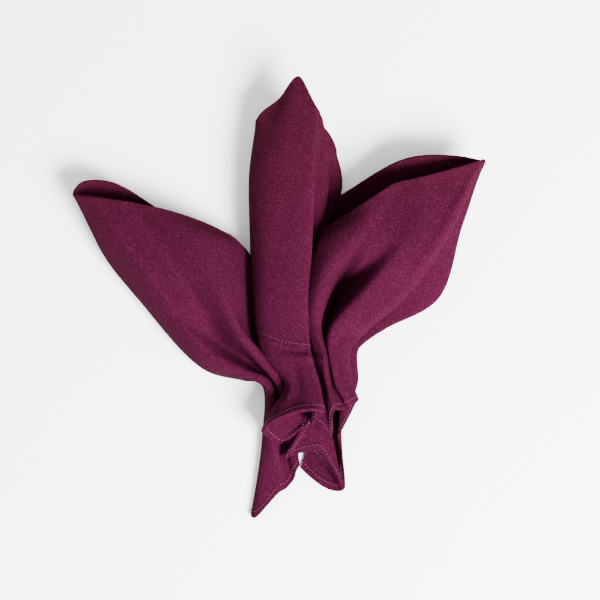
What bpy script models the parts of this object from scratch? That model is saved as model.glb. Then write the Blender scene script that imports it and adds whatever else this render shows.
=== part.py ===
"""Guest towel of plain linen, folded double and gathered at a waist.

Three hollow lobes flare out above the waist and the hemmed ends spread into short tails below it.
The folded cloth is one sheet, a row of named folds running from the tail hems up to the rims.
Sizes are in millimetres until the mesh is made. X is to the right, Y is up the lobes, Z is up off the table.
"""

import bmesh
import bpy
import numpy as np
from mathutils import Vector

MM = 0.001

# Cloth
SHEET_THICKNESS = 2.0
TABLE_GAP = 0.5 * SHEET_THICKNESS
WAIST_Y = -54.0

# A fold that turns back on itself has two sides this far apart, and so has a pleat
FOLD_ROUND = 3.2

# How finely the sheet is divided: between two folds, round one fold, and between two stations along them
STEPS_ACROSS = 3
STEPS_ROUND = 2
STEPS_ALONG = 3

# Colour of the linen and how it takes light
LINEN_COLOUR = (0.135, 0.022, 0.062, 1.0)
LINEN_ROUGHNESS = 0.85

# Where each fold runs through the lobes, as x, y, z at four stations going down from the rim
LOBE_COLUMNS = ("fold", "turn", "rim", "far", "middle", "near")
LOBES = (
    ("left under edge", "flat", (-73, 55, 3), (-57, 24, 1), (-43, -3, 1), (-21, -29, 1.5)),
    ("left under middle", "flat", (-107, 75, 5), (-89, 40, 1), (-66, 5, 1), (-34, -32, 1.5)),
    ("left outer fold", "up", (-133, 70, 17), (-114, 33, 13), (-89, 0, 10), (-48, -43, 9)),
    ("left low roll", "pleat", (-119, 67, 25), (-100, 41, 28), (-76, 8, 27), (-43, -37, 21)),
    ("left trough", "pleat", (-98, 63, 27), (-82, 41, 31), (-61, 13, 30), (-36, -28, 17)),
    ("left belly", "pleat", (-81, 59, 27), (-58, 38, 34), (-41, 14, 34), (-25, -19, 27)),
    ("left shoulder", "flat", (-55, 50, 25), (-40, 37, 30), (-29, 11, 27), (-23, -21, 19)),
    ("left inner edge", "flat", (-26, 36, 17), (-22, 24, 13), (-20, 6, 9), (-17, -23, 8)),
    ("first valley", "flat", (-9, 23, 5), (-8, 16, 4.5), (-7, 3, 4.5), (-5, -24, 5)),
    ("centre back layer", "flat", (24, 84, 5), (22, 58, 2.5), (9, 20, 2.5), (4, -23, 3.5)),
    ("centre back edge", "up", (36, 97, 13), (39, 72, 7), (25, 33, 4.5), (14, -22, 4.5)),
    ("centre back return", "up", (22, 102, 17), (24, 74, 11.5), (15, 33, 8.5), (7, -22, 8.5)),
    ("centre second edge", "up", (30, 110, 22), (34, 82, 16), (21, 36, 12.5), (12, -21, 12)),
    ("centre inner layer", "flat", (7, 114, 22), (7, 80, 18), (3, 38, 15.5), (-1, -19, 14)),
    ("centre left fold", "up", (-12, 118, 18), (-18, 80, 18), (-18, 40, 17), (-14, -16, 17)),
    ("centre left slope", "flat", (0, 128, 27), (-11, 83, 27), (-11, 40, 27), (-9, -16, 24)),
    ("centre crest", "flat", (12, 142, 34), (3, 86, 35), (2, 40, 34), (2, -18, 28)),
    ("centre right slope", "flat", (20, 130, 36), (15, 90, 38), (13, 38, 36), (12, -18, 29)),
    ("centre front edge", "down", (25, 114, 34), (23, 78, 36), (20, 33, 33), (18, -17, 26)),
    ("centre front return", "down", (19, 111, 28), (16, 74, 30), (14, 31, 26), (14, -18, 20.5)),
    ("crevice", "flat", (43, 56, 24), (30, 50, 24), (22, 24, 24), (21, -17, 20)),
    ("right ridge", "pleat", (60, 66, 33), (56, 49, 42), (43, 18, 40), (28, -14, 28)),
    ("right trough", "pleat", (73, 74, 33), (69, 44, 36), (55, 17, 19), (33, -19, 13)),
    ("right belly", "pleat", (97, 79, 36), (87, 54, 40), (68, 18, 30), (41, -19, 24)),
    ("right front edge", "down", (130, 90, 34), (105, 38, 36), (82, 5, 28), (52, -22, 22)),
    ("right front return", "down", (123, 82, 28), (97, 35, 29), (74, 4, 21), (46, -24, 16)),
    ("right outer fold", "down", (133, 82, 20), (115, 36, 16), (101, -1, 11), (66, -19, 9)),
    ("right under outer", "flat", (117, 92, 10), (103, 48, 2), (89, 0, 1), (60, -22, 1.5)),
    ("right under middle", "flat", (81, 91, 8), (75, 54, 1), (62, 13, 1), (43, -22, 1.5)),
    ("right under edge", "flat", (47, 71, 8), (47, 51, 1), (39, 10, 1), (32, -22, 1.5)),
)

# The same folds where they are gathered, as x and z, and then down the tails, as x, y, z
TAIL_COLUMNS = ("fold", "waist", "neck", "hem")
TAILS = (
    ("left under edge", (6, 2.2), (7, -83, 1), (11, -99, 1)),
    ("left under middle", (-3, 2.2), (-4, -90, 1), (-2, -115, 1)),
    ("left outer fold", (-10.5, 8), (-9, -90, 5), (-17, -142, 3.5)),
    ("left low roll", (-7.5, 18), (-4, -93, 10), (4, -123, 7)),
    ("left trough", (-3.5, 7.5), (2, -90, 5), (9, -108, 4)),
    ("left belly", (0.5, 17.5), (7, -86, 12), (14, -101, 10)),
    ("left shoulder", (3.5, 12), (12, -86, 8), (18, -100, 8)),
    ("left inner edge", (5.5, 7), (18, -83, 6.5), (23, -97, 6)),
    ("first valley", (12, 6), (25, -85, 5), (29, -100, 4.5)),
    ("centre back layer", (18, 5.5), (29, -86, 5), (32, -104, 4.5)),
    ("centre back edge", (25, 5.5), (34, -89, 6), (38, -110, 6)),
    ("centre back return", (19, 10), (23, -77, 11), (20, -88, 13)),
    ("centre second edge", (26, 14.5), (30, -80, 15.5), (35, -95, 17)),
    ("centre inner layer", (15, 17.5), (12, -80, 19), (2, -92, 20)),
    ("centre left fold", (5, 20), (-4, -72, 23), (-9, -83, 24)),
    ("centre left slope", (8, 27), (3, -67, 28), (2, -74, 29)),
    ("centre crest", (13, 24.5), (11, -65, 28), (13, -70, 31)),
    ("centre right slope", (18, 29), (20, -65, 31), (23, -70, 32)),
    ("centre front edge", (25, 28), (27, -66, 29.5), (28, -72, 29.5)),
    ("centre front return", (21, 22), (23, -69, 23.5), (22, -79, 23.5)),
    ("crevice", (28, 20.5), (31, -66, 22), (34, -71, 21)),
    ("right ridge", (31, 28), (34, -64, 27), (37, -70, 24)),
    ("right trough", (35, 9), (38.5, -65, 17), (41.5, -71, 20)),
    ("right belly", (39.5, 26), (43, -64, 23), (46, -68, 21)),
    ("right front edge", (46, 21), (48, -60, 19), (50, -65, 17)),
    ("right front return", (42.5, 15), (42, -71, 11.5), (42, -84, 10)),
    ("right outer fold", (49.5, 9), (44, -82, 5), (43, -102, 4.6)),
    ("right under outer", (46, 2.5), (38, -88, 1), (38, -120, 1)),
    ("right under middle", (42, 2.2), (33, -90, 1), (30, -122, 1)),
    ("right under edge", (33, 2.2), (28, -88, 1), (21, -116, 1)),
)


def curve_piece(before, start, end, after, share):
    """Point on a smooth curve between start and end, which leans on the points before and after them."""
    knots = [0.0]
    for one, other in ((before, start), (start, end), (end, after)):
        knots.append(knots[-1] + max(np.linalg.norm(other - one), 1e-6) ** 0.5)
    at = knots[1] + share * (knots[2] - knots[1])

    def between(low, high, first, second):
        return ((high - at) * first + (at - low) * second) / (high - low)

    first = between(knots[0], knots[1], before, start)
    second = between(knots[1], knots[2], start, end)
    third = between(knots[2], knots[3], end, after)
    return between(knots[1], knots[2],
                   between(knots[0], knots[2], first, second),
                   between(knots[1], knots[3], second, third))


def smooth_line(points, steps):
    """A smooth line through every point, with a number of steps between each two: one for all, or a list."""
    if isinstance(steps, int):
        steps = [steps] * (len(points) - 1)
    ends = [2 * points[0] - points[1]] + list(points) + [2 * points[-1] - points[-2]]
    line = []
    for i, count in enumerate(steps):
        for step in range(count):
            line.append(curve_piece(ends[i], ends[i + 1], ends[i + 2], ends[i + 3], step / count))
    line.append(points[-1])
    return np.array(line)


def fold_sides(turn, middle):
    """How far each side of a fold lies from its middle line: a flat place has one line, a turn has two."""
    half = 0.5 * FOLD_ROUND
    if turn == "flat":
        return [np.zeros(3)]
    if turn == "pleat":
        along = np.gradient(middle, axis=0)
        sideways = np.stack((along[:, 1], -along[:, 0], np.zeros(len(along))), axis=1)
        sideways *= half / np.linalg.norm(sideways, axis=1, keepdims=True)
        return [-sideways, sideways]
    rise = np.array((0, 0, half if turn == "up" else -half))
    return [-rise, rise]


def named_rows(columns, table):
    """The rows of a table, each as a dictionary with its entries under the names of the columns."""
    return [dict(zip(columns, row)) for row in table]


def fold_lines():
    """The sides of each fold, from the tail hem through the waist to the rim of the lobe."""
    lines = []
    for lobe, tail in zip(named_rows(LOBE_COLUMNS, LOBES), named_rows(TAIL_COLUMNS, TAILS)):
        waist = (tail["waist"][0], WAIST_Y, tail["waist"][1])
        stations = (tail["hem"], tail["neck"], waist, lobe["near"], lobe["middle"], lobe["far"], lobe["rim"])
        middle = smooth_line([np.array(s, float) for s in stations], STEPS_ALONG)
        lines.append([middle + side for side in fold_sides(lobe["turn"], middle)])
    return lines


def middle_of_sheet():
    """Grid of points halfway through the cloth: rows go from hem to rim, columns across the folds."""
    folds = fold_lines()
    steps = []
    for sides in folds:
        steps += [STEPS_ROUND] * (len(sides) - 1) + [STEPS_ACROSS]
    lines = [side for sides in folds for side in sides]
    rows = [smooth_line(list(row), steps[:-1]) for row in zip(*lines)]
    grid = np.array(rows)
    grid[:, :, 2] = np.maximum(grid[:, :, 2], TABLE_GAP)
    return grid


def sheet_normals(grid):
    """Unit normals of the sheet at every point of the grid."""
    across = np.gradient(grid, axis=1)
    along = np.gradient(grid, axis=0)
    normals = np.cross(across, along)
    return normals / np.linalg.norm(normals, axis=2, keepdims=True)


def thicken(grid):
    """Vertices and faces of the sheet with its full thickness and a closed edge."""
    rows, columns = grid.shape[:2]
    normals = sheet_normals(grid)
    front = grid + 0.5 * SHEET_THICKNESS * normals
    back = grid - 0.5 * SHEET_THICKNESS * normals
    front[:, :, 2] = np.maximum(front[:, :, 2], 0.0)
    back[:, :, 2] = np.maximum(back[:, :, 2], 0.0)
    vertices = np.concatenate((front.reshape(-1, 3), back.reshape(-1, 3))) * MM
    behind = rows * columns
    faces = []

    def quad(a, b, c, d):
        faces.append((a, b, c))
        faces.append((a, c, d))

    for r in range(rows - 1):
        for c in range(columns - 1):
            a, b = r * columns + c, r * columns + c + 1
            d, e = a + columns, b + columns
            quad(a, b, e, d)
            quad(behind + a, behind + d, behind + e, behind + b)
    rim = [(0, c) for c in range(columns)]
    rim += [(r, columns - 1) for r in range(1, rows)]
    rim += [(rows - 1, c) for c in range(columns - 2, -1, -1)]
    rim += [(r, 0) for r in range(rows - 2, 0, -1)]
    for (r0, c0), (r1, c1) in zip(rim, rim[1:] + rim[:1]):
        a, b = r0 * columns + c0, r1 * columns + c1
        quad(a, behind + a, behind + b, b)
    return vertices, faces


def centred(vertices):
    """Move the sheet so that it stands over the origin, with its lowest point on the table."""
    low, high = vertices.min(axis=0), vertices.max(axis=0)
    middle = 0.5 * (low + high)
    return vertices - np.array((middle[0], middle[1], low[2]))


def linen():
    """Matt plum linen."""
    material = bpy.data.materials.new("linen")
    material.use_nodes = True
    shader = material.node_tree.nodes["Principled BSDF"]
    shader.inputs["Base Color"].default_value = LINEN_COLOUR
    shader.inputs["Roughness"].default_value = LINEN_ROUGHNESS
    shader.inputs["Metallic"].default_value = 0.0
    return material


def build_towel():
    """The whole cloth as one closed solid."""
    vertices, faces = thicken(middle_of_sheet())
    mesh = bpy.data.meshes.new("towel")
    mesh.from_pydata([Vector(v) for v in centred(vertices)], [], faces)
    solid = bmesh.new()
    solid.from_mesh(mesh)
    bmesh.ops.recalc_face_normals(solid, faces=solid.faces)
    solid.to_mesh(mesh)
    solid.free()
    mesh.materials.append(linen())
    towel = bpy.data.objects.new("towel", mesh)
    bpy.context.scene.collection.objects.link(towel)


def main():
    for old in list(bpy.data.objects):
        bpy.data.objects.remove(old, do_unlink=True)
    build_towel()


main()
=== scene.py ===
import math

import bpy
import numpy as np
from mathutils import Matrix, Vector


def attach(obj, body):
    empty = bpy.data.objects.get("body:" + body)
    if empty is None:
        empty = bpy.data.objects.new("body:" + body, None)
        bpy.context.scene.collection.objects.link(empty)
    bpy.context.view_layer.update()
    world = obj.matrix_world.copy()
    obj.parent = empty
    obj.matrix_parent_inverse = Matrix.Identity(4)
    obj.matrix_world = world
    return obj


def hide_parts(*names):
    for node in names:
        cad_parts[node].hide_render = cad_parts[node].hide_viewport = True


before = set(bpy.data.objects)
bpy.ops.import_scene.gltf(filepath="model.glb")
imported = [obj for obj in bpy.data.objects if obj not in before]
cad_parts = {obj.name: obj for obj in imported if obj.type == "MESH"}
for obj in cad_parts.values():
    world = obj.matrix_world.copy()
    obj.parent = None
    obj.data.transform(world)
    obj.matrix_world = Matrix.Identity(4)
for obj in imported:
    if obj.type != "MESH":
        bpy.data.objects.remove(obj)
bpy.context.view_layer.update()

# The visual model of a plain linen guest towel, folded double and gathered at a waist.
# Sizes are in millimetres until a mesh is made. X is to the right, Y is up the lobes, Z is up off the table.

MM = 0.001

# Cloth: two plies face to face, with a turned hem at the tails and the fold of the cloth at the rims
PLY_PAIR = 2.0
HEM_THICKNESS = 2.5
HEM_WIDTH = 4.6
HEM_STEP = 0.5
RIM_THICKNESS = 2.7
RIM_SWELL = 7.0
EDGE_ROUNDING = 0.9
EDGE_SHARE = 0.25
PLY_GAP = 0.36
PLY_GAP_DEPTH = 3.0
WAIST_Y = -54.0

# A fold that turns back on itself has two sides this far apart. The sides of a pleat close toward the rim
FOLD_ROUND = 3.2
PLEAT_OPENS = 0.86
PLEAT_AT_RIM = 0.15

# How finely the sheet is divided, with rows at set distances from the hem and from the rim
STEPS_ACROSS = 8
STEPS_ROUND = 5
STEPS_BETWEEN_STATIONS = 40
ROWS_BETWEEN_ENDS = 124
HEM_ROWS = (0.0, 0.15, 0.45, 0.9, 1.8, 3.0, 4.2, 4.6, 5.1, 5.8)
RIM_ROWS = (0.0, 0.12, 0.4, 0.9, 1.6, 2.8, 4.5)

# Folds whose ends are evened out, and the share of the cloth's length over which that happens
EVENED_COLUMNS = ("first", "last", "end")
EVENED_FOLDS = (
    ("left tip front", "left inner edge", "rim"),
    ("centre back low", "centre left low", "rim"),
    ("centre right slope", "right under outer", "rim"),
    ("left low roll", "centre back layer", "hem"),
    ("right front return", "right under edge", "hem"),
)
EVENED_SHARE = 0.14
EVENING_ROUNDS = 30

# Stitches along the hem
STITCH_PITCH = 2.4
STITCH_LENGTH = 1.7
STITCH_THICKNESS = 0.32
STITCH_INSET = 3.9
STITCH_SIDES = 6
STITCH_RINGS = 4

# Hem edge that lies over the foot of the centre lobe, from left to right, between two folds
HEM_LINE = ((-14.5, -24.0), (3.0, -30.5), (19.0, -32.5))
HEM_LINE_FOLDS = ("centre left high", "centre front edge")
HEM_LINE_DROP = 1.1
HEM_LINE_STEP = 1.6
HEM_LINE_FADE = 15.0

# Creases and waves lift the cloth only where it lies this high off the table, and come in over this height
RELIEF_FROM = 3.0
RELIEF_OVER = 12.0

# Long soft waves that keep the cloth uneven, with the millimetres in a radian of each along x and y
WAVE_HEIGHT = 0.225
WAVE_COLUMNS = ("along x", "along y", "start", "share")
WAVES = (
    (11.0, 17.0, 0.7, 1.0),
    (19.0, -13.0, 2.1, 0.8),
    (7.0, 29.0, 4.0, 0.5),
    (-23.0, 8.0, 1.3, 0.4),
)

# Linen: its colours and how it takes light
# The deep colour is a darker tone of the linen in random patches, and also the painted shade in the grooves
# of the weave
LINEN_DEEP = (0.0110, 0.0009, 0.0040, 1.0)
LINEN_PLUM = (0.0242, 0.0011, 0.0088, 1.0)
LINEN_WINE = (0.0256, 0.0016, 0.0070, 1.0)
LINEN_FLECK = (0.115, 0.027, 0.063, 1.0)
LINEN_ROUGHNESS = 0.86
LINEN_SHINE = 0.01

# How a colour blends in: the low and high of what it follows, and its shares at the two
WINE_BLEND = (0.0, 0.13, 0.0, 0.75)
PATCH_BLEND = (0.35, 0.7, 0.22, 0.0)
# Painted shade: the deep colour comes in where the weave's threads lie low
GROOVE_SHADE_BLEND = (0.2, 0.75, 0.45, 0.0)
FLECK_BLEND = (0.47, 0.80, 0.0, 0.52)

# Weave: the pitch and height of its threads in metres, how they wander, and the scales of its noises
THREAD_PITCH = 0.00058
THREAD_HEIGHT = 0.00035
THREAD_STRENGTH = 0.9
THREAD_DRIFT = 2.2
DRIFT_SCALE = 260.0
GROOVE_SHARE = 0.6
SLUB_SHARE = 0.7
SLUB_FINE = 1500.0
SLUB_LONG = 90.0
SLUB_SHIFT = (7.0, 3.0, 0.0)
FLECK_SCALE = 1700.0
PATCH_SCALE = 34.0

# Sewing thread, a shade lighter than the linen
THREAD_COLOUR = (0.060, 0.006, 0.027, 1.0)
THREAD_ROUGHNESS = 0.6

# Table top
FLOOR_HALF = 3.0
FLOOR_COLOUR = (0.97, 0.97, 0.97, 1.0)
FLOOR_ROUGHNESS = 0.7
FLOOR_SHINE = 0.1

# Camera, straight above the cloth, with the view's centre on the table and the width that it frames
CAMERA_HEIGHT = 1.40
CAMERA_CENTRE = (0.01350, 0.0)
VIEW_WIDTH = 0.384
SENSOR_WIDTH = 36.0
FRAMED_HEIGHT = 0.020
CAMERA_CLIP = (0.05, 10.0)

# Soft key lamp at the lower right, and a bright even room
KEY_PLACE = (0.85, -0.75, 1.15)
KEY_SIZE = 0.75
KEY_POWER = 212.0
ROOM_STRENGTH = 1.55

# Where each fold runs through the lobes, as x, y, z at five stations going down from the rim
LOBE_COLUMNS = ("fold", "turn", "rim", "far", "middle", "near", "throat")
LOBES = (
    ("left under edge", "flat",
     (-73, 56, 9), (-57, 24, 1), (-43, -3, 1), (-21, -29, 1.5), (-8, -43, 1.5)),
    ("left under middle", "flat",
     (-107, 75.3, 21), (-90, 40, 1), (-68, 5, 1), (-34, -32, 1.5), (-19, -45, 1.5)),
    ("left tip back", "flat",
     (-126.5, 75.5, 20), (-114, 33, 11), (-89, 0, 8), (-48, -44, 7), (-24, -51, 6.5)),
    ("left tip front", "flat",
     (-131, 68, 23), (-113, 33, 15), (-88, 0, 12), (-48, -43, 11), (-24, -50, 10)),
    ("left low roll", "pleat",
     (-119, 66, 29), (-100, 41, 30), (-76, 8, 27), (-46, -33, 21), (-24, -46, 19)),
    ("left trough", "pleat",
     (-98, 63, 31), (-82, 41, 32), (-61, 13, 30), (-37, -27, 13), (-18, -41, 9)),
    ("left belly", "pleat",
     (-81, 59.5, 30), (-60, 38, 34), (-42, 14, 34), (-26, -19, 28), (-13, -36, 23)),
    ("left shoulder", "flat",
     (-53, 51.5, 26), (-39, 38, 30), (-28, 12, 28), (-22, -21, 20), (-9, -37, 16)),
    ("left inner edge", "flat",
     (-31, 42, 19), (-22, 30, 14), (-19, 8, 9), (-17, -23, 8), (-5, -38, 8)),
    ("first valley", "flat",
     (-9, 23, 5), (-8, 16, 4.5), (-7, 3, 4.5), (-5, -24, 5), (4, -39, 5.5)),
    ("centre back layer", "flat",
     (24, 84, 5), (22, 58, 2.5), (9, 20, 2.5), (4, -23, 3), (11, -38, 3.5)),
    ("centre back low", "flat",
     (36, 97.5, 10), (39, 70, 5), (25, 33, 3), (14, -22, 3), (20, -38, 3.5)),
    ("centre back high", "flat",
     (30, 111, 17), (38.5, 76, 9), (25, 34, 6.5), (14, -22, 6.5), (20, -38, 7)),
    ("centre back return", "up",
     (24, 114, 20), (24, 75, 12.5), (15, 33, 9.5), (7, -22, 9.5), (14, -38, 10.5)),
    ("centre second edge", "up",
     (23, 112, 24), (27, 80, 17), (20, 36, 13.5), (12, -21, 13), (20, -37, 14.5)),
    ("centre inner layer", "flat",
     (6, 118, 23), (6, 80, 19), (3, 38, 16.5), (-1, -19, 15), (7, -37, 16.5)),
    ("centre left low", "flat",
     (-13.5, 114, 19), (-17.5, 78, 17.5), (-17, 42, 16.5), (-14, -16, 16.5), (-9, -37, 17.5)),
    ("centre left high", "flat",
     (-10.5, 120, 23), (-17, 84, 21.5), (-17.5, 42, 20), (-14, -16, 19.5), (-9, -36, 20.5)),
    ("centre left slope", "flat",
     (1, 128.5, 28), (-11, 86, 28), (-11, 40, 28), (-9, -16, 25), (-3, -36, 26)),
    ("centre crest", "flat",
     (12.5, 142, 34), (2, 88, 35), (2, 40, 34), (2, -18, 28.5), (7, -36, 27.5)),
    ("centre right slope", "flat",
     (20.8, 128.5, 36), (14, 92, 37.5), (12.5, 38, 36), (12, -18, 30), (15, -36, 29.5)),
    ("centre front edge", "down",
     (25, 120, 34.5), (22.5, 92, 36), (20, 37, 33.5), (18, -17, 27.5), (19.5, -35, 28)),
    ("centre front return", "down",
     (27.5, 115.5, 31), (17, 84, 30.5), (14, 35, 27), (14, -18, 21.5), (16, -36, 22)),
    ("link", "flat",
     (34.5, 76, 22), (27, 54, 22), (18, 30, 21), (16, -17, 18), (19, -36, 19)),
    ("crevice", "flat",
     (25, 43, 17), (21.5, 33, 17.5), (18.5, 12, 17.5), (18.5, -17, 16), (22, -35, 19)),
    ("right flank", "flat",
     (34, 48, 28), (26, 37, 31), (19.5, 14, 30), (18.5, -15, 26), (24, -34, 25)),
    ("right ridge", "flat",
     (50, 58, 35), (43, 43, 41), (28.5, 15, 40), (22.5, -13, 30), (28, -33, 29)),
    ("right ridge side", "flat",
     (61, 66, 36), (52, 41, 42), (35, 16, 36), (26, -15, 27), (30, -35, 27)),
    ("right trough", "pleat",
     (74, 74.5, 36), (54, 29, 36), (39.5, 11, 14), (29, -17, 15), (31.5, -35.5, 23)),
    ("right belly", "pleat",
     (97, 79.5, 36), (85, 45, 40), (59, 9, 37), (34.5, -20, 31), (34, -34, 28)),
    ("right front edge", "down",
     (130.5, 89.5, 32), (107, 42, 36), (82, 5, 28), (53, -21.5, 22), (45, -32, 22)),
    ("right front return", "down",
     (131, 89.5, 26.5), (98, 38, 29), (73, 4, 21), (47, -24, 16), (43, -37, 16)),
    ("right outer fold", "down",
     (131.5, 89, 21), (116.5, 48, 17), (101.5, 1.5, 11), (67, -18.5, 9), (50.5, -31, 9)),
    ("right under outer", "flat",
     (119, 91.5, 23), (98, 45, 2), (88, 1, 1), (60, -22, 1.5), (47, -36, 1.8)),
    ("right under middle", "flat",
     (82, 90.5, 25), (78, 54, 2), (62, 13, 1), (43, -22, 1.5), (41, -38, 1.8)),
    ("right under edge", "flat",
     (37, 66, 9), (33, 50, 2), (31, 11, 1), (30, -22, 1.5), (33, -38, 1.8)),
)

# The same folds where they are gathered, as x and z, and then down the tails, as x, y, z
TAIL_COLUMNS = ("fold", "waist", "neck", "hem")
TAILS = (
    ("left under edge", (6, 2.2), (7, -83, 1), (10, -99, 1)),
    ("left under middle", (-3, 2.2), (-4, -90, 1), (-3, -116, 1)),
    ("left tip back", (-10.5, 6.2), (-10, -90, 3.5), (-17.5, -140, 2)),
    ("left tip front", (-10.5, 9.6), (-9.5, -90, 7), (-15.5, -141, 5.2)),
    ("left low roll", (-7.5, 18), (-4, -93, 10), (3, -123, 7)),
    ("left trough", (-3.5, 7.5), (2, -90, 5), (8.5, -118, 4)),
    ("left belly", (0.5, 17.5), (6, -86, 9.5), (11.5, -110, 7.5)),
    ("left shoulder", (3.5, 12), (10, -86, 7), (11.5, -104, 7)),
    ("left inner edge", (5.5, 7), (14, -83, 6.5), (11, -99, 6)),
    ("first valley", (12, 6), (20, -84, 5), (16, -98, 4.5)),
    ("centre back layer", (18, 4.5), (28, -85, 4), (31, -108, 4.5)),
    ("centre back low", (25, 4), (33, -86, 5), (40.5, -121.5, 7)),
    ("centre back high", (25, 7.6), (29, -82, 8.5), (25, -98, 9.5)),
    ("centre back return", (19, 11), (15, -80, 12), (4, -102, 11.5)),
    ("centre second edge", (26, 15), (25, -73, 14), (17.5, -80, 13)),
    ("centre inner layer", (15, 18), (12, -78, 13), (-1, -93, 12)),
    ("centre left low", (5, 19), (-4, -73, 17), (-9, -87, 17.5)),
    ("centre left high", (5, 22), (-4, -71, 24.5), (-10.5, -84, 23)),
    ("centre left slope", (8, 27), (3, -67, 30.5), (-5, -78, 32)),
    ("centre crest", (13, 26), (11, -65, 30.5), (12, -71, 37)),
    ("centre right slope", (18, 29), (20, -65, 32), (22, -70, 36)),
    ("centre front edge", (25, 28), (27, -65, 29.5), (28, -71.5, 29.5)),
    ("centre front return", (21, 22), (22, -69, 23.5), (21.5, -79.5, 23.5)),
    ("link", (25, 20), (27, -69, 21.5), (27, -82, 21)),
    ("crevice", (28, 20), (31, -69, 21), (33, -88, 18)),
    ("right flank", (29.5, 25), (32, -66, 25.5), (34, -76, 23)),
    ("right ridge", (31, 28), (34, -63, 27.5), (36, -70, 25)),
    ("right ridge side", (33, 23), (36, -64, 23), (38.5, -70.5, 22)),
    ("right trough", (34, 21), (38.5, -64, 20), (41, -70, 20)),
    ("right belly", (38.5, 26), (43, -62, 23.5), (46, -67.5, 21)),
    ("right front edge", (46, 21), (48, -59, 19), (50, -65, 17)),
    ("right front return", (42.5, 15), (40, -70, 12), (38.5, -88, 10)),
    ("right outer fold", (49.5, 9), (40, -80, 6), (42, -122.5, 4.6)),
    ("right under outer", (46, 2.5), (36, -88, 1), (39.5, -125, 1)),
    ("right under middle", (41, 2.2), (29, -90, 1), (27, -121, 1)),
    ("right under edge", (33, 2.2), (20, -88, 1), (14, -109, 1)),
)

# Soft creases on the cloth, from one place to another: negative heights are troughs
CREASE_END = 0.05
CREASE_FADE = 0.7
CREASE_COLUMNS = ("crease", "start", "end", "width", "height")
CREASES = (
    ("left soft roll", (-100, 30), (-52, -24), 9, 0.9),
    ("left soft trough", (-92, 44), (-40, -18), 8, -0.8),
    ("left belly ripple", (-62, 30), (-28, -12), 9, 0.7),
    ("left waist pinch", (-48, -18), (-16, -44), 4, -1.2),
    ("left long trough", (-70, -7), (-26, -39), 3.6, -4.5),
    ("left ridge over the trough", (-62, 2), (-22, -30), 4, 1.6),
    ("left waist pinch below", (-46, -34), (-18, -49), 3.5, 1.0),
    ("centre left ripple", (-8, 96), (-10, -10), 7, 0.6),
    ("centre right ripple", (8, 112), (8, -14), 8, -0.6),
    ("right shoulder ripple", (62, 48), (50, 30), 9, 0.8),
    ("right belly ripple", (104, 62), (60, -8), 9, 0.7),
    ("right edge trough", (112, 36), (70, -10), 5, -0.7),
    ("right waist pinch", (44, -16), (30, -40), 3.5, -1.0),
    ("right rolled edge at the tip", (127, 86), (103, 41), 2.0, 2.2),
    ("right rolled edge", (105, 44), (78, 5), 2.0, 2.2),
    ("right rolled edge at the waist", (81, 8), (51, -19), 2.0, 2.2),
    ("small roll at the waist", (3, -35), (29, -38), 2.6, 2.8),
    ("hollow above the small roll", (14, -31), (30, -33), 2.4, -1.8),
)


# Smooth lines through the folds

def named_rows(columns, table):
    """The rows of a table, each as a dictionary with its entries under the names of the columns."""
    return [dict(zip(columns, row)) for row in table]


def curve_piece(before, start, end, after, share):
    """Points on smooth curves between start and end, which lean on the points before and after them."""
    knots = [0.0]
    for one, other in ((before, start), (start, end), (end, after)):
        gap = np.linalg.norm(other - one, axis=-1, keepdims=True)
        knots.append(knots[-1] + np.sqrt(np.maximum(gap, 1e-6)))
    at = knots[1] + share * (knots[2] - knots[1])

    def between(low, high, first, second):
        return ((high - at) * first + (at - low) * second) / (high - low)

    first = between(knots[0], knots[1], before, start)
    second = between(knots[1], knots[2], start, end)
    third = between(knots[2], knots[3], end, after)
    return between(knots[1], knots[2],
                   between(knots[0], knots[2], first, second),
                   between(knots[1], knots[3], second, third))


def smooth_line(points, steps):
    """Smooth lines through every point, with a number of steps between each two: one for all, or a list."""
    if isinstance(steps, int):
        steps = [steps] * (len(points) - 1)
    ends = [2 * points[0] - points[1]] + list(points) + [2 * points[-1] - points[-2]]
    line = []
    for i, count in enumerate(steps):
        for step in range(count):
            line.append(curve_piece(ends[i], ends[i + 1], ends[i + 2], ends[i + 3], step / count))
    line.append(points[-1])
    return np.array(line)


def fold_sides(turn, middle):
    """How far each side of a fold lies from its middle line: a flat place has one line, a turn has two."""
    half = 0.5 * FOLD_ROUND
    if turn == "flat":
        return [np.zeros(3)]
    if turn == "pleat":
        along = np.gradient(middle, axis=0)
        sideways = np.stack((along[:, 1], -along[:, 0], np.zeros(len(along))), axis=1)
        sideways *= half / np.linalg.norm(sideways, axis=1, keepdims=True)
        place = np.linspace(0, 1, len(middle))
        sideways *= np.interp(place, (0, PLEAT_OPENS, 1), (1, 1, PLEAT_AT_RIM))[:, None]
        return [-sideways, sideways]
    rise = np.array((0, 0, half if turn == "up" else -half))
    return [-rise, rise]


def fold_lines():
    """The sides of each fold, from the tail hem through the waist to the rim of the lobe."""
    lines = []
    for lobe, tail in zip(named_rows(LOBE_COLUMNS, LOBES), named_rows(TAIL_COLUMNS, TAILS)):
        waist = (tail["waist"][0], WAIST_Y, tail["waist"][1])
        stations = [tail["hem"], tail["neck"], waist, lobe["throat"]]
        stations += [lobe["near"], lobe["middle"], lobe["far"], lobe["rim"]]
        middle = smooth_line([np.array(s, float) for s in stations], STEPS_BETWEEN_STATIONS)
        lines.append([middle + side for side in fold_sides(lobe["turn"], middle)])
    return lines


def dense_sheet():
    """Grid of points halfway through the cloth: rows go from hem to rim, columns across the folds."""
    folds = fold_lines()
    steps = []
    for sides in folds:
        steps += [STEPS_ROUND] * (len(sides) - 1) + [STEPS_ACROSS]
    lines = [side for sides in folds for side in sides]
    across = smooth_line(lines, steps[:-1])
    return across.transpose(1, 0, 2)


def columns_between(first, last):
    """Columns of the sheet from one fold to another, both included."""
    starts, count = {}, 0
    for lobe in named_rows(LOBE_COLUMNS, LOBES):
        starts[lobe["fold"]] = count
        count += STEPS_ACROSS + (0 if lobe["turn"] == "flat" else STEPS_ROUND)
    return slice(starts[first], starts[last] + 1)


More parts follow.
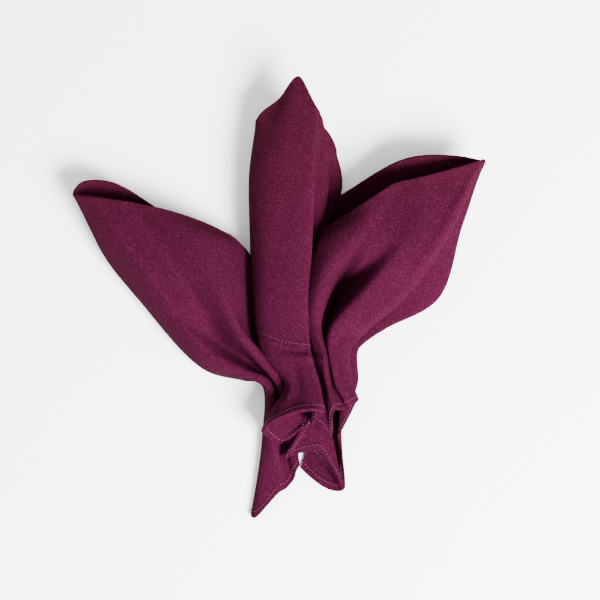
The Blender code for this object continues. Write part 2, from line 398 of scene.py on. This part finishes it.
def soft_step(distance, start, width):
    """One before start, nought after start and width, smooth between."""
    share = np.clip((distance - start) / width, 0.0, 1.0)
    return 1.0 - share * share * (3.0 - 2.0 * share)


def smooth_ends(grid):
    """Evens out the sheet's two ends, where the ends of the layers show side by side."""
    place = np.linspace(0.0, 1.0, len(grid))
    for evened in named_rows(EVENED_COLUMNS, EVENED_FOLDS):
        away = 1.0 - place if evened["end"] == "rim" else place
        share = soft_step(away, 0.0, EVENED_SHARE)[:, None, None]
        columns = columns_between(evened["first"], evened["last"])
        part = grid[:, columns].copy()
        for _ in range(EVENING_ROUNDS):
            middle = 0.25 * part[:, :-2] + 0.5 * part[:, 1:-1] + 0.25 * part[:, 2:]
            part[:, 1:-1] += share * (middle - part[:, 1:-1])
        grid[:, columns] = part
    return grid


def lengths_along(grid):
    """Length of cloth from the first row to each row, down every column."""
    steps = np.linalg.norm(np.diff(grid, axis=0), axis=2)
    return np.concatenate((np.zeros((1, grid.shape[1])), np.cumsum(steps, axis=0)))


def even_rows(grid):
    """The same sheet with rows at fixed distances from the hem and the rim, and even ones between."""
    lengths = lengths_along(grid)
    rows = np.arange(grid.shape[0], dtype=float)
    shares = (np.arange(ROWS_BETWEEN_ENDS) + 1.0) / (ROWS_BETWEEN_ENDS + 1.0)
    columns = []
    for c in range(grid.shape[1]):
        total = lengths[-1, c]
        low = np.interp(HEM_ROWS, lengths[:, c], rows)
        high = np.interp(total - np.array(RIM_ROWS[::-1]), lengths[:, c], rows)
        between = low[-1] + shares * (high[0] - low[-1])
        places = np.concatenate((low, between, high))
        columns.append(np.stack([np.interp(places, rows, grid[:, c, k]) for k in range(3)], axis=1))
    return np.array(columns).transpose(1, 0, 2)


# Relief of the cloth

def sheet_normals(grid):
    """Unit normals of the sheet at every point of the grid."""
    across = np.gradient(grid, axis=1)
    along = np.gradient(grid, axis=0)
    normals = np.cross(across, along)
    return normals / np.maximum(np.linalg.norm(normals, axis=2, keepdims=True), 1e-9)


def crease_relief(grid):
    """Height of all the soft creases at every point of the grid."""
    relief = np.zeros(grid.shape[:2])
    for crease in named_rows(CREASE_COLUMNS, CREASES):
        start, end = np.array(crease["start"], float), np.array(crease["end"], float)
        run = end - start
        share = np.clip(((grid[:, :, :2] - start) @ run) / (run @ run), 0.0, 1.0)
        away = np.linalg.norm(grid[:, :, :2] - (start + share[:, :, None] * run), axis=2)
        fade = np.sin(math.pi * (CREASE_END + share * (1.0 - 2.0 * CREASE_END))) ** CREASE_FADE
        relief += crease["height"] * fade * np.exp(-((away / crease["width"]) ** 2))
    return relief


def above_hem_line(grid):
    """How far every point lies up the lobe from the hem edge that crosses its foot."""
    x, y = zip(*HEM_LINE)
    return grid[:, :, 1] - np.interp(grid[:, :, 0], x, y)


def hem_line_relief(grid):
    """Lets the centre lobe step down below the hem edge that crosses its foot, and rise again softly."""
    below = -above_hem_line(grid)
    step = 1.0 - soft_step(below, 0.0, HEM_LINE_STEP)
    drop = -HEM_LINE_DROP * step * soft_step(below, HEM_LINE_STEP, HEM_LINE_FADE)
    chosen = np.zeros(grid.shape[:2])
    chosen[:, columns_between(*HEM_LINE_FOLDS)] = 1.0
    return drop * chosen


def wave_relief(grid):
    """Height of the long soft waves at every point of the grid."""
    relief = np.zeros(grid.shape[:2])
    for wave in named_rows(WAVE_COLUMNS, WAVES):
        turn = grid[:, :, 0] / wave["along x"] + grid[:, :, 1] / wave["along y"] + wave["start"]
        relief += WAVE_HEIGHT * wave["share"] * np.sin(turn)
    return relief


def rounded(distance):
    """Share of the full thickness this far in from a rounded edge."""
    inward = np.clip(distance / EDGE_ROUNDING, 0.0, 1.0)
    return EDGE_SHARE + (1.0 - EDGE_SHARE) * np.sqrt(1.0 - (1.0 - inward) ** 2)


def thickness_of(grid):
    """Thickness of the cloth at every point: hem, open cloth, and the fold at the rim."""
    from_hem = lengths_along(grid)
    from_rim = from_hem[-1:] - from_hem
    thickness = PLY_PAIR + (HEM_THICKNESS - PLY_PAIR) * soft_step(from_hem, HEM_WIDTH, HEM_STEP)
    thickness += (RIM_THICKNESS - PLY_PAIR) * soft_step(from_rim, 0.0, RIM_SWELL)
    return thickness * rounded(from_hem) * rounded(from_rim)


# Meshes

def sheet_parts():
    """Middle of the cloth, its normals and its thickness, with creases and waves on it."""
    grid = even_rows(smooth_ends(dense_sheet()))
    relief = crease_relief(grid) + wave_relief(grid) + hem_line_relief(grid)
    level = sheet_normals(grid)[:, :, 2] ** 2
    grid[:, :, 2] += relief * level * np.clip((grid[:, :, 2] - RELIEF_FROM) / RELIEF_OVER, 0.0, 1.0)
    thickness = thickness_of(grid)[:, :, None]
    grid[:, :, 2] = np.maximum(grid[:, :, 2], 0.5 * thickness[:, :, 0])
    return grid, sheet_normals(grid), thickness


def sheet_mesh(name, grid, normals, thickness):
    """The cloth as a closed skin: front, back, and edges, with a gap between the plies at the hem."""
    rows, columns = grid.shape[:2]
    front = grid + 0.5 * thickness * normals
    back = grid - 0.5 * thickness * normals
    front[:, :, 2] = np.maximum(front[:, :, 2], 0.0)
    back[:, :, 2] = np.maximum(back[:, :, 2], 0.0)
    gap_row = int(np.searchsorted(HEM_ROWS, PLY_GAP_DEPTH))
    lip = 0.5 * PLY_GAP * normals[0]
    seam = [grid[0] + lip, grid[gap_row], grid[0] - lip]
    points = np.concatenate([front.reshape(-1, 3), back.reshape(-1, 3)] + seam)
    front_of = np.arange(rows * columns).reshape(rows, columns)
    back_of = front_of + rows * columns
    seam_of = 2 * rows * columns + np.arange(3 * columns).reshape(3, columns)
    faces = []

    def strip(one, other):
        for k in range(len(one) - 1):
            faces.append((int(one[k]), int(one[k + 1]), int(other[k + 1]), int(other[k])))

    for r in range(rows - 1):
        strip(front_of[r], front_of[r + 1])
        strip(back_of[r + 1], back_of[r])
    strip(seam_of[0], front_of[0])
    strip(seam_of[1], seam_of[0])
    strip(seam_of[2], seam_of[1])
    strip(back_of[0], seam_of[2])
    strip(front_of[-1], back_of[-1])
    strip(back_of[:, 0], front_of[:, 0])
    strip(front_of[:, -1], back_of[:, -1])
    for c in (0, columns - 1):
        corner = [front_of[0, c], seam_of[0, c], seam_of[1, c], seam_of[2, c], back_of[0, c]]
        faces.append(tuple(int(v) for v in (corner if c == 0 else corner[::-1])))
    mesh = bpy.data.meshes.new(name)
    mesh.from_pydata([tuple(p) for p in points * MM], [], faces)
    mesh.validate()
    add_cloth_uv(mesh, grid, rows, columns)
    mesh.shade_smooth()
    return mesh


def add_cloth_uv(mesh, grid, rows, columns):
    """Lays the cloth's own width over the lobes and its length, in metres, on a UV map for the weave."""
    over_lobes = grid[rows // 2:]
    across = np.linalg.norm(np.diff(over_lobes, axis=1), axis=2).mean(axis=0)
    wide = np.concatenate(([0.0], np.cumsum(across)))
    long = lengths_along(grid).mean(axis=1)
    flat = np.stack(np.meshgrid(wide, long), axis=2).reshape(-1, 2)
    seam = np.stack((np.tile(wide, 3), np.zeros(3 * columns)), axis=1)
    places = np.concatenate((flat, flat, seam)) * MM
    corners = np.empty(len(mesh.loops), dtype=np.int32)
    mesh.loops.foreach_get("vertex_index", corners)
    layer = mesh.uv_layers.new(name="cloth")
    layer.data.foreach_set("uv", places[corners].astype(np.float32).ravel())


def new_object(name, mesh):
    """A mesh object in the scene, at the origin."""
    thing = bpy.data.objects.new(name, mesh)
    bpy.context.scene.collection.objects.link(thing)
    return thing


# Node trees

def find_input(made, name):
    """The input that is switched on and has this name, with spaces for its underscores."""
    wanted = name.replace("_", " ").lower()
    for entry in made.inputs:
        if entry.enabled and entry.name.lower() == wanted:
            return entry
    raise KeyError(name)


class Tree:
    """A Geometry Nodes or shader tree that is built node by node."""

    def __init__(self, tree):
        self.tree = tree

    def node(self, kind, settings=None, **inputs):
        """A new node with its settings, and with each named input given a value or a link."""
        made = self.tree.nodes.new(kind)
        for name, value in (settings or {}).items():
            setattr(made, name, value)
        return self.fill(made, **inputs)

    def fill(self, made, **inputs):
        """Gives each named input of a node a value or a link."""
        for name, value in inputs.items():
            self.put(find_input(made, name), value)
        return made

    def put(self, entry, value):
        """Links a socket to an input, or sets the input's own value."""
        if isinstance(value, Value):
            value = value.socket
        if isinstance(value, bpy.types.NodeSocket):
            self.tree.links.new(value, entry)
        else:
            entry.default_value = value


class Value:
    """A number in a shader tree, which adds, subtracts and multiplies as a Python number does."""

    def __init__(self, tree, socket):
        self.tree = tree
        self.socket = socket

    def maths(self, operation, *values):
        """A Math node on these values in their order."""
        made = self.tree.node("ShaderNodeMath", {"operation": operation})
        for entry, value in zip(made.inputs, values):
            self.tree.put(entry, value)
        return Value(self.tree, made.outputs[0])

    def sine(self):
        """The sine of this number, taken as radians."""
        return self.maths("SINE", self)

    def __add__(self, other):
        return self.maths("ADD", self, other)

    __radd__ = __add__

    def __mul__(self, other):
        return self.maths("MULTIPLY", self, other)

    __rmul__ = __mul__

    def __sub__(self, other):
        return self.maths("SUBTRACT", self, other)

    def __rsub__(self, other):
        return self.maths("SUBTRACT", other, self)


def ranged(tree, value, low, high, to_low, to_high):
    """Maps low to high smoothly onto another range, held at its ends."""
    made = tree.node("ShaderNodeMapRange", {"interpolation_type": "SMOOTHSTEP"}, Value=value,
                     From_Min=low, From_Max=high, To_Min=to_low, To_Max=to_high)
    return Value(tree, made.outputs[0])


def mixed(tree, share, one, other):
    """One colour blending into another."""
    made = tree.node("ShaderNodeMix", {"data_type": "RGBA"}, Factor=share, A=one, B=other)
    return next(entry for entry in made.outputs if entry.enabled)


def axis_of(tree, vector, axis):
    """One number of a place: 0 is its x, 1 is its y."""
    apart = tree.node("ShaderNodeSeparateXYZ", Vector=vector)
    return Value(tree, apart.outputs[axis])


def scaled(tree, vector, factors, offset=(0.0, 0.0, 0.0)):
    """A place multiplied by three factors and moved."""
    return tree.node("ShaderNodeMapping", Vector=vector, Scale=factors, Location=offset).outputs[0]


def noise(tree, vector, scale, detail, roughness=0.5):
    """Soft noise from 0 to 1."""
    made = tree.node("ShaderNodeTexNoise", {"noise_dimensions": "3D"}, Vector=vector, Scale=scale,
                     Detail=detail, Roughness=roughness)
    return Value(tree, made.outputs[0])


# Materials

def new_material(name, **inputs):
    """A material, its tree and its shader, with the values that are the same all over the surface."""
    material = bpy.data.materials.new(name)
    material.use_nodes = True
    tree = Tree(material.node_tree)
    shader = tree.fill(material.node_tree.nodes["Principled BSDF"], **inputs)
    return material, tree, shader


def threads(tree, cloth):
    """Height of a plain weave: warp and weft threads that pass over each other in turn, with uneven slubs."""
    drift = noise(tree, cloth, DRIFT_SCALE, 2.0) * THREAD_DRIFT
    warp = (axis_of(tree, cloth, 0) * (math.pi / THREAD_PITCH) + drift).sine()
    weft = (axis_of(tree, cloth, 1) * (math.pi / THREAD_PITCH) + drift).sine()
    over = (warp * weft) * 0.5 + 0.5
    grooves = (warp * warp) * over + (weft * weft) * (1.0 - over)
    warp_slub = noise(tree, scaled(tree, cloth, (SLUB_FINE, SLUB_LONG, 1.0)), 1.0, 1.0)
    weft_slub = noise(tree, scaled(tree, cloth, (SLUB_LONG, SLUB_FINE, 1.0), SLUB_SHIFT), 1.0, 1.0)
    return grooves * GROOVE_SHARE + warp_slub * over * SLUB_SHARE + weft_slub * (1.0 - over) * SLUB_SHARE


def linen_material():
    """Matt plum linen with lighter flecks and darker patches, painted shade in the grooves of its weave, and
    a little redder toward the ends of the lobes.
    """
    material, tree, shader = new_material("linen", Roughness=LINEN_ROUGHNESS, Specular_IOR_Level=LINEN_SHINE)
    cloth = tree.node("ShaderNodeUVMap", {"uv_map": "cloth"}).outputs[0]
    place = tree.node("ShaderNodeTexCoord").outputs["Object"]
    weave = threads(tree, cloth)
    fleck = noise(tree, place, FLECK_SCALE, 2.0, 0.7)
    patches = noise(tree, place, PATCH_SCALE, 3.0)
    plum = mixed(tree, ranged(tree, axis_of(tree, place, 1), *WINE_BLEND), LINEN_PLUM, LINEN_WINE)
    # Darker patches at random places, the linen's own uneven tone
    mottled = mixed(tree, ranged(tree, patches, *PATCH_BLEND), plum, LINEN_DEEP)
    # Painted shade in the grooves between the threads, darkest where the weave lies lowest
    painted_groove_shade = mixed(tree, ranged(tree, weave, *GROOVE_SHADE_BLEND), mottled, LINEN_DEEP)
    flecked = mixed(tree, ranged(tree, fleck, *FLECK_BLEND), painted_groove_shade, LINEN_FLECK)
    bump = tree.node("ShaderNodeBump", Strength=THREAD_STRENGTH, Distance=THREAD_HEIGHT, Height=weave)
    tree.fill(shader, Base_Color=flecked, Normal=bump.outputs[0])
    return material


# Stitches

def stitch_tree(material):
    """Node group that lays a short stitch at every step of a line."""
    group = bpy.data.node_groups.new("stitches", "GeometryNodeTree")
    group.interface.new_socket("Line", in_out="INPUT", socket_type="NodeSocketGeometry")
    pitch = group.interface.new_socket("Pitch", in_out="INPUT", socket_type="NodeSocketFloat")
    pitch.default_value = STITCH_PITCH * MM
    group.interface.new_socket("Geometry", in_out="OUTPUT", socket_type="NodeSocketGeometry")
    tree = Tree(group)
    given = tree.node("NodeGroupInput")
    curve = tree.node("GeometryNodeMeshToCurve", Mesh=given.outputs[0])
    spaced = tree.node("GeometryNodeResampleCurve", {"mode": "LENGTH"}, Curve=curve.outputs[0],
                       Length=given.outputs[1])
    tangent = tree.node("GeometryNodeInputTangent")
    turned = tree.node("FunctionNodeAlignRotationToVector", {"axis": "Z"}, Vector=tangent.outputs[0])
    stitch = tree.node("GeometryNodeMeshUVSphere", Segments=STITCH_SIDES, Rings=STITCH_RINGS, Radius=1.0)
    slim = tree.node("GeometryNodeTransform", Geometry=stitch.outputs[0],
                     Scale=(STITCH_THICKNESS * MM / 2, STITCH_THICKNESS * MM / 2, STITCH_LENGTH * MM / 2))
    laid = tree.node("GeometryNodeInstanceOnPoints", Points=spaced.outputs[0],
                     Instance=slim.outputs[0], Rotation=turned.outputs[0])
    real = tree.node("GeometryNodeRealizeInstances", Geometry=laid.outputs[0])
    dressed = tree.node("GeometryNodeSetMaterial", Geometry=real.outputs[0], Material=material)
    tree.node("NodeGroupOutput", Geometry=dressed.outputs[0])
    return group


def stitches_over_lobe(front):
    """Line on the front of the centre lobe, as far above its hem edge as the stitches lie."""
    chosen = front[:, columns_between(*HEM_LINE_FOLDS)]
    rows = np.arange(len(front), dtype=float)
    line = []
    for column in chosen.transpose(1, 0, 2):
        above = above_hem_line(column[:, None])[:, 0]
        place = np.interp(STITCH_INSET, above, rows)
        line.append([np.interp(place, rows, column[:, k]) for k in range(3)])
    return np.array(line)


def stitches(grid, normals, thickness, material):
    """A row of stitches on each face of the hem, and one along the hem edge over the centre lobe."""
    row = int(np.searchsorted(HEM_ROWS, STITCH_INSET))
    lines = [grid[row] + side * 0.5 * thickness[row] * normals[row] for side in (1.0, -1.0)]
    lines.append(stitches_over_lobe(grid + 0.5 * thickness * normals))
    points, edges = [], []
    for line in lines:
        start = len(points)
        points += [tuple(p) for p in line * MM]
        edges += [(start + k, start + k + 1) for k in range(len(line) - 1)]
    mesh = bpy.data.meshes.new("stitch_lines")
    mesh.from_pydata(points, edges, [])
    drawn = new_object("stitch_lines", mesh)
    modifier = drawn.modifiers.new("stitches", "NODES")
    modifier.node_group = stitch_tree(material)
    evaluated = drawn.evaluated_get(bpy.context.evaluated_depsgraph_get())
    sewn = new_object("hem_stitches", bpy.data.meshes.new_from_object(evaluated))
    bpy.data.objects.remove(drawn, do_unlink=True)
    return sewn


# Camera, floor and light

def add_camera():
    """A camera straight above the table, framing the same width as the photograph."""
    camera = bpy.data.cameras.new("camera")
    camera.sensor_width = SENSOR_WIDTH
    camera.lens = SENSOR_WIDTH * (CAMERA_HEIGHT - FRAMED_HEIGHT) / VIEW_WIDTH
    camera.clip_start, camera.clip_end = CAMERA_CLIP
    holder = bpy.data.objects.new("camera", camera)
    holder.location = (CAMERA_CENTRE[0], CAMERA_CENTRE[1], CAMERA_HEIGHT)
    bpy.context.scene.collection.objects.link(holder)
    bpy.context.scene.camera = holder


def add_floor():
    """A wide pale table top."""
    half = FLOOR_HALF
    corners = [(-half, -half, 0), (half, -half, 0), (half, half, 0), (-half, half, 0)]
    mesh = bpy.data.meshes.new("floor")
    mesh.from_pydata(corners, [], [(0, 1, 2, 3)])
    mesh.materials.append(new_material("floor", Base_Color=FLOOR_COLOUR, Roughness=FLOOR_ROUGHNESS,
                                       Specular_IOR_Level=FLOOR_SHINE)[0])
    floor = new_object("floor", mesh)
    return floor


def add_key():
    """A square soft lamp that points at the cloth."""
    lamp = bpy.data.lights.new("key", "AREA")
    lamp.shape = "SQUARE"
    lamp.size = KEY_SIZE
    lamp.energy = KEY_POWER
    holder = bpy.data.objects.new("key", lamp)
    holder.location = KEY_PLACE
    holder.rotation_mode = "QUATERNION"
    holder.rotation_quaternion = (-Vector(KEY_PLACE)).to_track_quat("-Z", "Y")
    bpy.context.scene.collection.objects.link(holder)


def add_room():
    """Even white light from all round."""
    world = bpy.data.worlds.new("room")
    world.use_nodes = True
    background = world.node_tree.nodes["Background"]
    background.inputs[0].default_value = (1.0, 1.0, 1.0, 1.0)
    background.inputs[1].default_value = ROOM_STRENGTH
    bpy.context.scene.world = world


# The whole scene

def build():
    """The cloth with its stitches, on the table, under the light and the camera."""
    grid, normals, thickness = sheet_parts()
    cloth = new_object("linen_sheet", sheet_mesh("linen_sheet", grid, normals, thickness))
    cloth.data.materials.append(linen_material())
    thread = new_material("sewing_thread", Base_Color=THREAD_COLOUR, Roughness=THREAD_ROUGHNESS)[0]
    sewn = stitches(grid, normals, thickness, thread)
    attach(cloth, "root")
    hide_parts("towel")
    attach(sewn, "root")
    floor = add_floor()
    add_camera()
    add_key()
    add_room()


build()
